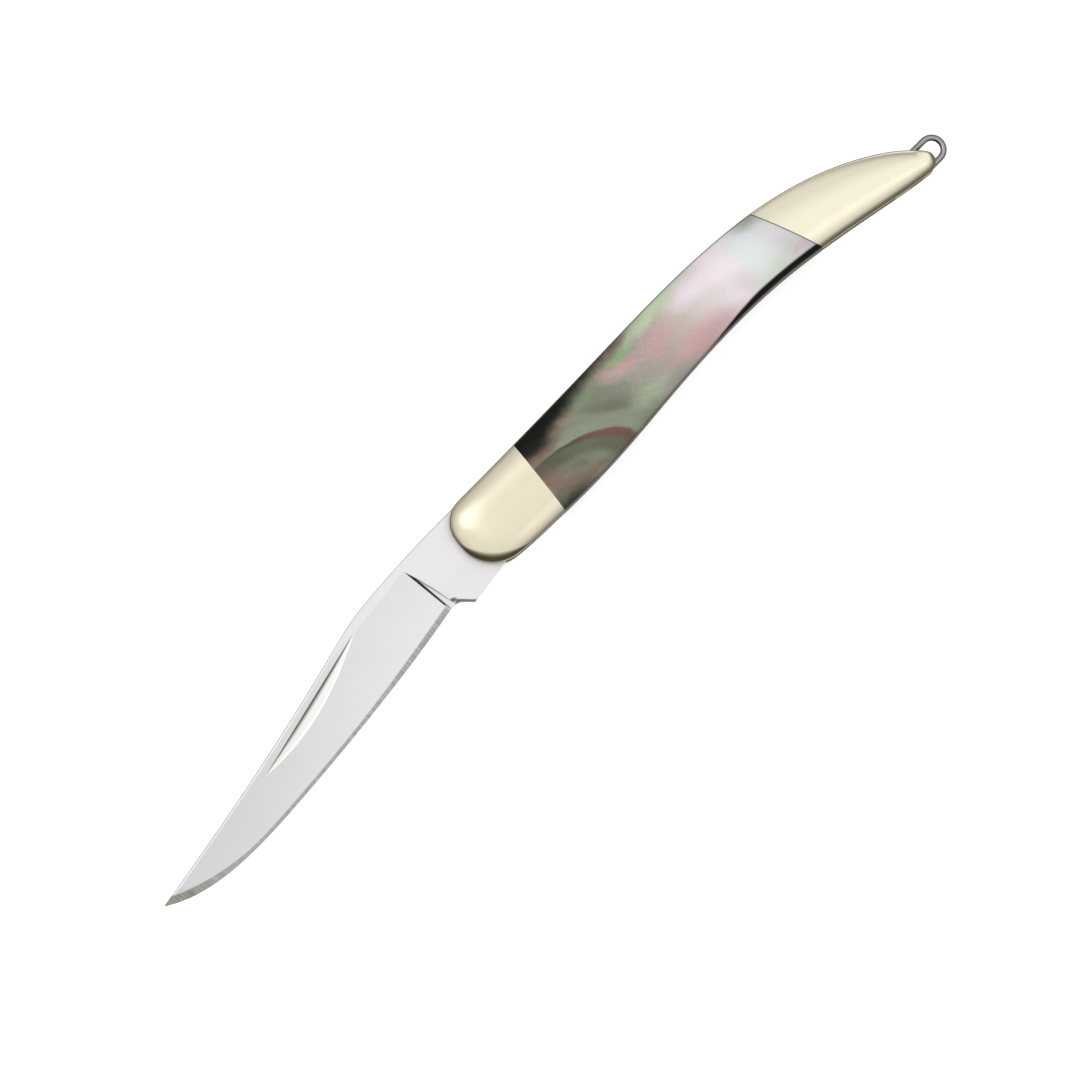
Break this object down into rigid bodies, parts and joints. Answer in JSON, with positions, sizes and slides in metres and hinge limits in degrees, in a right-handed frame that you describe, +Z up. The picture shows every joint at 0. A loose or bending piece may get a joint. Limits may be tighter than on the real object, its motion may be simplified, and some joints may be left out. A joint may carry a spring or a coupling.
{
  "type": "folding pocket knife",
  "caption": "Small folding pocket knife: clip-point blade on a slip joint, crowned pearl covers between polished bolsters, brass liners and a wire bail at the drooping tail.",
  "frame": {"origin": "middle of the flat on the pile-side cover that the knife lies on, 28 mm behind the blade pivot", "axes": "+X along the handle to the tail, +Y to the spine, +Z up out of the mark side"},
  "size_m": [0.1364, 0.0134, 0.0082],
  "materials": {
    "blade_steel": "fine satin",
    "spring_steel": "satin",
    "liner_brass": "satin",
    "nickel_silver": "polished nickel silver",
    "pearl_shell": "polished mother of pearl",
    "pin_brass": "plain",
    "bail_wire": "polished nickel silver wire"
  },
  "bodies": {
    "handle": {"back_spring": "spring_steel", "mark_liner": "liner_brass", "pile_liner": "liner_brass", "mark_front_bolster": "nickel_silver", "pile_front_bolster": "nickel_silver", "mark_rear_bolster": "nickel_silver", "pile_rear_bolster": "nickel_silver", "mark_scale": "pearl_shell", "pile_scale": "pearl_shell", "pivot_pin": "nickel_silver", "spring_pin": "pin_brass", "tail_pin": "nickel_silver", "bail_pin": "nickel_silver", "mark_front_rivets": "pin_brass", "pile_front_rivets": "pin_brass", "mark_rear_rivets": "pin_brass", "pile_rear_rivets": "pin_brass"},
    "blade": {"blade": "blade_steel"},
    "bail": {"bail": "bail_wire"}
  },
  "joints": [
    {"name": "blade_pivot", "type": "hinge", "parent": "handle", "child": "blade", "pos_m": [-0.028, -0.0011, 0.00406], "axis": [0, 0, 1], "range_deg": [0, 172], "deforming": ["back_spring"]},
    {"name": "bail_swing", "type": "hinge", "parent": "handle", "child": "bail", "pos_m": [0.04025, -0.0061, 0.00406], "axis": [0, 0, 1], "range_deg": [-80, 80]}
  ]
}
